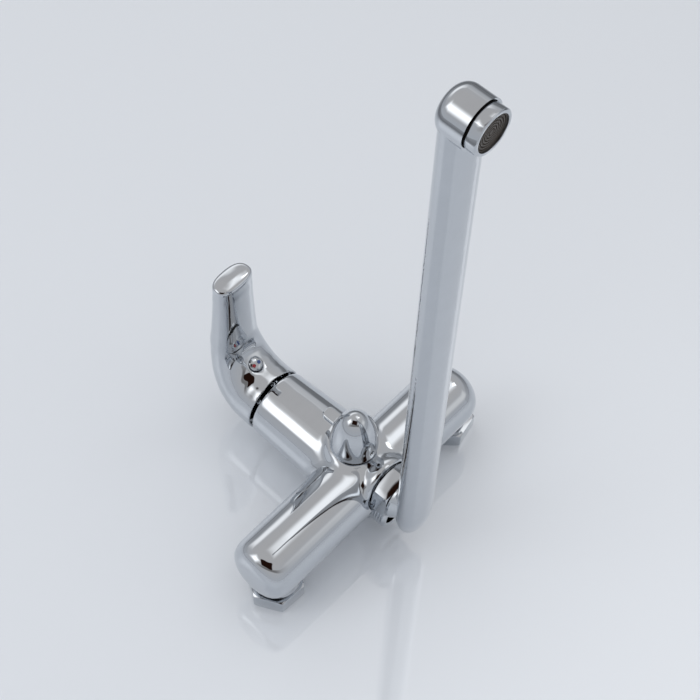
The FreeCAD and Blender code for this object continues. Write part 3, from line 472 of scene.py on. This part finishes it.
def turned_piece(name: str, profile: Profile, centre_mm: Point) -> bpy.types.Object:
    """Turn a profile round an axis that points to the front.

    Args:
        name: the new piece's name.
        profile: radius and distance along the axis of each corner, in millimetres.
        centre_mm: start of the axis.

    Returns:
        The new object.
    """
    shape = bmesh.new()
    corners = []
    for radius, along in profile:
        made = bmesh.ops.create_vert(shape, co=(radius * MM, 0.0, along * MM))
        corners.append(made["vert"][0])
    for first, second in zip(corners, corners[1:]):
        bmesh.ops.contextual_create(shape, geom=[first, second])
    bmesh.ops.spin(shape, geom=shape.verts[:] + shape.edges[:], cent=(0.0, 0.0, 0.0),
                   axis=(0.0, 0.0, 1.0), dvec=(0.0, 0.0, 0.0), angle=2.0 * math.pi,
                   steps=TURN_STEPS, use_merge=True, use_duplicate=False)
    bmesh.ops.remove_doubles(shape, verts=shape.verts, dist=SLIVER_MM * MM)
    bmesh.ops.recalc_face_normals(shape, faces=shape.faces)
    stand = Matrix.Translation(Vector(centre_mm) * MM) @ Matrix.Rotation(math.pi / 2, 4, "X")
    bmesh.ops.transform(shape, matrix=stand, verts=shape.verts)
    mesh = bpy.data.meshes.new(name)
    shape.to_mesh(mesh)
    shape.free()
    item = link_mesh(name, mesh)
    item.data.shade_smooth()
    item.data.set_sharp_from_angle(angle=math.radians(TURN_CREASE))
    return item


@dataclass
class BodyCasting:
    """The polished brass body with its bar, legs, cartridge housing and bosses."""

    casting: Casting = Casting("mixer_body", "body_casting", 0.88, 8, (
        SoftZone("knob_collar", (-3.0, 4.0, 59.0), 13.0, 27.0, 110),
        SoftZone("left_dome", (-97.0, -2.0, 47.0), 16.0, 32.0, 150),
        SoftZone("right_dome", (90.0, -2.0, 47.0), 12.0, 26.0, 40),
    ))

    def build(self, frame: Frame) -> List[bpy.types.Object]:
        """Make the body's skin."""
        return [self.casting.build(frame)]


@dataclass
class Lever:
    """The lever with its cap, heel and upright column, and its index plug."""

    casting: Casting = Casting("handle", "lever_casting", 0.57, 8, (
        SoftZone("crown", (0.0, 104.3, 135.0), 6.0, 13.5, 40),
        SoftZone("cap_top", (0.0, 79.5, 56.5), 5.0, 11.0, 90),
    ))
    plug: EasedPiece = EasedPiece("index_plug", "index_plug_cap", 0.12)

    def build(self, frame: Frame) -> List[bpy.types.Object]:
        """Make the lever's skin, and the index plug with a soft rim."""
        return [self.casting.build(frame), self.plug.build(frame)]


@dataclass
class Spout:
    """The swivel nut and the aerator's collar at the two ends of the long spout."""

    nut: EasedPiece = EasedPiece("spout_nut", "swivel_nut", 0.35)
    collar: EasedPiece = EasedPiece("aerator_housing", "aerator_collar", 0.25)
    gap_end_mm: float = 48.82

    def build(self, frame: Frame) -> List[bpy.types.Object]:
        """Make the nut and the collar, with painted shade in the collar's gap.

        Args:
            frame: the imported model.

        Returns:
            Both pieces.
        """
        pieces = [self.nut.build(frame), self.collar.build(frame)]
        self.paint_gap_shade(pieces[1])
        return pieces

    def paint_gap_shade(self, collar: bpy.types.Object) -> None:
        """Paint shade on the collar's faces that look into the gap before the spout's boss, using
        the dark gap shade brass.

        Args:
            collar: the aerator's collar.
        """
        collar.data.materials.append(GAP_SHADE_BRASS.material())
        # Painted shade: faces inside the gap take the dark brass.
        for face in collar.data.polygons:
            if -face.center.y < self.gap_end_mm * MM:
                face.material_index = 1


@dataclass
class Aerator:
    """The ringed insert in the mouth of the aerator, its axis pointing to the front."""

    centre_mm: Point = (0.0, 0.0, 397.9)
    back_mm: float = 51.5
    front_mm: float = 53.4
    radius_mm: float = 10.14
    rings: int = 6
    pitch_mm: float = 1.45
    groove_depth_mm: float = 0.55
    groove_width_mm: float = 0.375
    groove_slope_mm: float = 0.12

    def build(self, frame: Frame) -> List[bpy.types.Object]:
        """Turn the insert's face with its fine rings.

        Args:
            frame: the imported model.

        Returns:
            The insert's face.
        """
        floor = self.front_mm - self.groove_depth_mm
        profile = [(0.0, self.back_mm), (self.radius_mm, self.back_mm),
                   (self.radius_mm, self.front_mm)]
        for number in range(self.rings, 0, -1):
            inner = number * self.pitch_mm
            outer = inner + self.groove_width_mm
            profile += [(outer + self.groove_slope_mm, self.front_mm), (outer, floor),
                        (inner, floor), (inner - self.groove_slope_mm, self.front_mm)]
        profile.append((0.0, self.front_mm))
        return [frame.stand_in(turned_piece("aerator_rings", profile, self.centre_mm),
                               "aerator_screen")]


@dataclass
class ShowerOutlet:
    """The short threaded outlet for the shower hose, its axis pointing to the front."""

    centre_mm: Point = (0.0, 0.0, 18.5)
    bore_mm: float = 7.0
    bore_lead_mm: float = 0.5
    seat_mm: float = 5.3
    seat_radius_mm: float = 9.48
    face_mm: float = 13.0
    undercut_mm: float = 10.1
    undercut_end_mm: float = 14.0
    crest_mm: float = 10.48
    root_mm: float = 9.5
    pitch_mm: float = 1.81
    root_end: float = 0.3
    crest_start: float = 0.7
    crest_end: float = 0.85
    runout_mm: float = 0.6
    chamfer_mm: float = 0.4
    end_mm: float = 24.6

    def build(self, frame: Frame) -> List[bpy.types.Object]:
        """Turn the outlet with its thread as closely set rings.

        Args:
            frame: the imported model.

        Returns:
            The outlet.
        """
        profile = [(self.bore_mm, self.seat_mm), (self.seat_radius_mm, self.seat_mm),
                   (self.seat_radius_mm, self.face_mm), (self.undercut_mm, self.face_mm),
                   (self.undercut_mm, self.undercut_end_mm)]
        along = self.undercut_end_mm
        while along + self.pitch_mm < self.end_mm - self.runout_mm:
            profile += [(self.root_mm, along + self.root_end * self.pitch_mm),
                        (self.crest_mm, along + self.crest_start * self.pitch_mm),
                        (self.crest_mm, along + self.crest_end * self.pitch_mm)]
            along += self.pitch_mm
        profile += [(self.root_mm, self.end_mm - self.chamfer_mm),
                    (self.root_mm - self.chamfer_mm, self.end_mm),
                    (self.bore_mm + self.bore_lead_mm, self.end_mm),
                    (self.bore_mm, self.end_mm - self.bore_lead_mm),
                    (self.bore_mm, self.seat_mm)]
        return [frame.stand_in(turned_piece("hose_thread", profile, self.centre_mm),
                               "shower_nipple")]


@dataclass
class DiverterKnob:
    """The bullet shaped diverter knob with its soft thumb fin."""

    casting: Casting = Casting("diverter_knob", "knob_casting", 0.4, 10)

    def build(self, frame: Frame) -> List[bpy.types.Object]:
        """Make the knob's skin."""
        return [self.casting.build(frame)]


@dataclass
class Unions:
    """The two hexagon nuts that the mixer stands on."""

    ease_mm: float = 0.35

    def build(self, frame: Frame) -> List[bpy.types.Object]:
        """Ease the edges of both nuts."""
        return [EasedPiece("union_nut_" + side, "wall_nut_" + side, self.ease_mm).build(frame)
                for side in ("left", "right")]


@dataclass(frozen=True)
class Patch:
    """One soft patch of the studio's walls and ceiling, lighter or darker than the rest.

    Args:
        name: what the patch stands for.
        azimuth: direction in degrees, nought in front and ninety on the right.
        height: elevation in degrees.
        half_width: half of its width in degrees.
        half_height: half of its height in degrees.
        soft: share of its size over which it fades out.
        level: brightness, where one is white.
        code: colour as an sRGB hex code.
        corner: how round its corners are, from nought for square ones.
    """

    name: str
    azimuth: float
    height: float
    half_width: float
    half_height: float
    soft: float
    level: float
    code: str = "#FFFFFF"
    corner: float = 0.5

    def paint(self, tree: bpy.types.NodeTree, look: bpy.types.NodeSocket,
              room: bpy.types.NodeSocket) -> bpy.types.NodeSocket:
        """Lay the patch over the room's colour.

        Args:
            tree: the world's node tree.
            look: the direction looked in.
            room: the colour so far.

        Returns:
            The colour with the patch.
        """
        turned = add_node(tree, "ShaderNodeMapping", {
            "vector_type": "TEXTURE",
            "Rotation": (-math.radians(self.height), 0.0, math.radians(self.azimuth)),
        }, {"Vector": look})
        stretched = add_node(tree, "ShaderNodeVectorMath", {
            "operation": "MULTIPLY",
            Input.SECOND: (1.0 / math.sin(math.radians(self.half_width)), 1.0,
                           1.0 / math.sin(math.radians(self.half_height))),
        }, {Input.FIRST: turned.outputs["Vector"]})
        parts = add_node(tree, "ShaderNodeSeparateXYZ", {},
                         {"Vector": stretched.outputs["Vector"]})
        across = add_node(tree, "ShaderNodeMath", {"operation": "ABSOLUTE"},
                          {Input.FIRST: parts.outputs["X"]})
        rise = add_node(tree, "ShaderNodeMath", {"operation": "ABSOLUTE"},
                        {Input.FIRST: parts.outputs["Z"]})
        edge = add_node(tree, "ShaderNodeMath", {
            "operation": "SMOOTH_MAX",
            Input.THIRD: self.corner,
        }, {Input.FIRST: across.outputs["Value"], Input.SECOND: rise.outputs["Value"]})
        mask = add_node(tree, "ShaderNodeMapRange", {
            "interpolation_type": "SMOOTHERSTEP",
            "From Min": 1.0 + self.soft,
            "From Max": 1.0 - self.soft,
        }, {"Value": edge.outputs["Value"]})
        # The patch lies ahead only: its mirror image behind is cut off here.
        ahead = add_node(tree, "ShaderNodeMath", {"operation": "LESS_THAN", Input.SECOND: 0.0},
                         {Input.FIRST: parts.outputs["Y"]})
        share = add_node(tree, "ShaderNodeMath", {"operation": "MULTIPLY"},
                         {Input.FIRST: mask.outputs["Result"], Input.SECOND: ahead.outputs["Value"]})
        mix = add_node(tree, "ShaderNodeMix", {
            "data_type": "RGBA",
            "label": self.name,
            MixSocket.SECOND: scaled(linear(self.code), self.level),
        }, {MixSocket.FACTOR: share.outputs["Value"], MixSocket.FIRST: room})
        return mix.outputs[MixSocket.RESULT]


ROOM_PATCHES = (
    Patch("dim wall on the right", 120.0, 2.0, 46.0, 10.0, 1.0, 0.3, "#E4E6EA"),
    Patch("pale opening behind", 152.0, 27.0, 22.0, 8.0, 0.8, 1.35),
    Patch("softbox behind on the left", -125.0, 38.0, 11.0, 12.0, 0.9, 2.1),
    Patch("ceiling panel on the right", 85.0, 67.0, 13.0, 9.0, 0.8, 1.45),
    Patch("small lamp on the right", 74.0, 55.0, 5.0, 5.0, 0.5, 2.4),
    Patch("pale board in front", 34.0, 22.0, 12.0, 8.0, 0.9, 0.9),
    Patch("dim rail on the left", -50.0, 38.0, 42.0, 5.0, 0.5, 0.3, "#E8E4E2"),
    Patch("brown board on the left", -60.0, 58.0, 22.0, 15.0, 0.1, 0.08, "#8A5A48"),
)


@dataclass
class Studio:
    """The floor, the surrounding room, the lamp and the camera, with lengths in metres."""

    floor_size: float = 12.0
    floor_code: str = "#EAEFF5"
    floor_roughness: float = 0.04
    floor_ior: float = 1.9
    # Painted shade of the far floor, which only the metal's reflections show.
    reflected_shade_code: str = "#6A6E74"
    table_centre: Point = (-0.15, -0.45, 0.0)
    table_near: float = 0.76
    table_far: float = 1.52
    low_code: str = "#C4C8CE"
    high_code: str = "#CECCCB"
    low_rise: float = -0.1
    high_rise: float = 0.8
    backdrop_code: str = "#DCE1E6"
    patches: Tuple[Patch, ...] = ROOM_PATCHES
    lamp_watts: float = 8.6
    lamp_code: str = "#F4F8FF"
    lamp_width: float = 2.3
    lamp_depth: float = 1.9
    lamp_place: Point = (-0.5, -0.1, 1.5)
    lens_mm: float = 97.87
    sensor_mm: float = 36.0
    view_end: float = 50.0
    camera_place: Point = (-0.41548, -0.33157, 1.01076)
    camera_right: Point = (0.67604, -0.73630, 0.02890)
    camera_up: Point = (0.61246, 0.58327, 0.53357)

    def build(self) -> None:
        """Build the whole studio."""
        self.lay_floor()
        self.set_world()
        self.hang_lamp()
        self.set_camera()
        bpy.context.scene.view_settings.view_transform = "Standard"

    def lay_floor(self) -> None:
        """Lay the pale glossy floor."""
        shape = bmesh.new()
        bmesh.ops.create_grid(shape, x_segments=1, y_segments=1, size=self.floor_size / 2.0)
        mesh = bpy.data.meshes.new("floor")
        shape.to_mesh(mesh)
        shape.free()
        floor = link_mesh("floor", mesh)
        floor.data.materials.append(self.floor_material())

    def floor_material(self) -> bpy.types.Material:
        """Make the floor's acrylic: a pale body under a gloss that mirrors the mixer faintly.

        Returns:
            The material.
        """
        made = bpy.data.materials.new("pale glossy acrylic floor")
        made.use_nodes = True
        tree = made.node_tree
        shader = tree.nodes["Principled BSDF"]
        shader.inputs["Roughness"].default_value = self.floor_roughness
        shader.inputs["IOR"].default_value = self.floor_ior
        # Painted shade for reflections: the floor is pale near the mixer, and further away its
        # colour turns dark for glossy rays only, so the metal mirrors a dim room while the camera
        # sees an even pale floor.
        place = add_node(tree, "ShaderNodeTexCoord", {}, {})
        away = add_node(tree, "ShaderNodeVectorMath", {
            "operation": "DISTANCE",
            Input.SECOND: self.table_centre,
        }, {Input.FIRST: place.outputs["Object"]})
        fade = add_node(tree, "ShaderNodeMapRange", {
            "interpolation_type": "SMOOTHSTEP",
            "From Min": self.table_near,
            "From Max": self.table_far,
        }, {"Value": away.outputs["Value"]})
        rays = add_node(tree, "ShaderNodeLightPath", {}, {})
        share = add_node(tree, "ShaderNodeMath", {"operation": "MULTIPLY"}, {
            Input.FIRST: fade.outputs["Result"],
            Input.SECOND: rays.outputs["Is Glossy Ray"],
        })
        tint = add_node(tree, "ShaderNodeMix", {
            "data_type": "RGBA",
            MixSocket.FIRST: linear(self.floor_code),
            MixSocket.SECOND: linear(self.reflected_shade_code),
        }, {MixSocket.FACTOR: share.outputs["Value"]})
        tree.links.new(tint.outputs[MixSocket.RESULT], shader.inputs["Base Color"])
        return made

    def set_world(self) -> None:
        """Set the room that the metal mirrors, and the plain backdrop that the camera sees."""
        world = bpy.data.worlds.new("studio room")
        bpy.context.scene.world = world
        world.use_nodes = True
        tree = world.node_tree
        place = add_node(tree, "ShaderNodeTexCoord", {}, {})
        split = add_node(tree, "ShaderNodeSeparateXYZ", {},
                         {"Vector": place.outputs["Generated"]})
        fade = add_node(tree, "ShaderNodeMapRange", {
            "From Min": self.low_rise,
            "From Max": self.high_rise,
        }, {"Value": split.outputs["Z"]})
        room = add_node(tree, "ShaderNodeMix", {
            "data_type": "RGBA",
            MixSocket.FIRST: linear(self.low_code),
            MixSocket.SECOND: linear(self.high_code),
        }, {MixSocket.FACTOR: fade.outputs["Result"]})
        colour = room.outputs[MixSocket.RESULT]
        for patch in self.patches:
            colour = patch.paint(tree, place.outputs["Generated"], colour)
        rays = add_node(tree, "ShaderNodeLightPath", {}, {})
        seen = add_node(tree, "ShaderNodeMix", {
            "data_type": "RGBA",
            MixSocket.SECOND: linear(self.backdrop_code),
        }, {MixSocket.FACTOR: rays.outputs["Is Camera Ray"], MixSocket.FIRST: colour})
        tree.links.new(seen.outputs[MixSocket.RESULT], tree.nodes["Background"].inputs["Color"])

    def hang_lamp(self) -> None:
        """Hang the wide overhead softbox that lights the floor and gives the soft shadow."""
        lamp = bpy.data.lights.new("overhead softbox", "AREA")
        lamp.shape = "RECTANGLE"
        lamp.size = self.lamp_width
        lamp.size_y = self.lamp_depth
        lamp.energy = self.lamp_watts
        lamp.color = linear(self.lamp_code)[:3]
        item = bpy.data.objects.new("overhead softbox", lamp)
        item.location = self.lamp_place
        item.rotation_euler = (-item.location).to_track_quat("-Z", "Y").to_euler()
        # The polished metal mirrors the painted room and not this lamp.
        item.visible_glossy = False
        bpy.context.scene.collection.objects.link(item)

    def set_camera(self) -> None:
        """Set the camera where the photograph was taken."""
        made = bpy.data.cameras.new("camera")
        made.lens = self.lens_mm
        made.sensor_width = self.sensor_mm
        made.clip_end = self.view_end
        right = Vector(self.camera_right)
        up = Vector(self.camera_up)
        turn = Matrix((right, up, right.cross(up))).transposed().to_4x4()
        item = bpy.data.objects.new("camera", made)
        item.matrix_world = Matrix.Translation(Vector(self.camera_place)) @ turn
        bpy.context.scene.collection.objects.link(item)
        bpy.context.scene.camera = item


def main() -> None:
    """Build the mixer's looks and the studio in order, and report each new piece."""
    logging.basicConfig(level=logging.INFO, format="%(name)s %(message)s")
    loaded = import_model()
    frame = Frame(loaded["nodes"], loaded["record"])
    frame.dress()
    for assembly in (BodyCasting(), Lever(), Spout(), Aerator(), ShowerOutlet(), DiverterKnob(),
                     Unions()):
        for piece in assembly.build(frame):
            LOG.info("%s is built with %d faces", piece.name, len(piece.data.polygons))
    Studio().build()


if __name__ == "__main__":
    main()
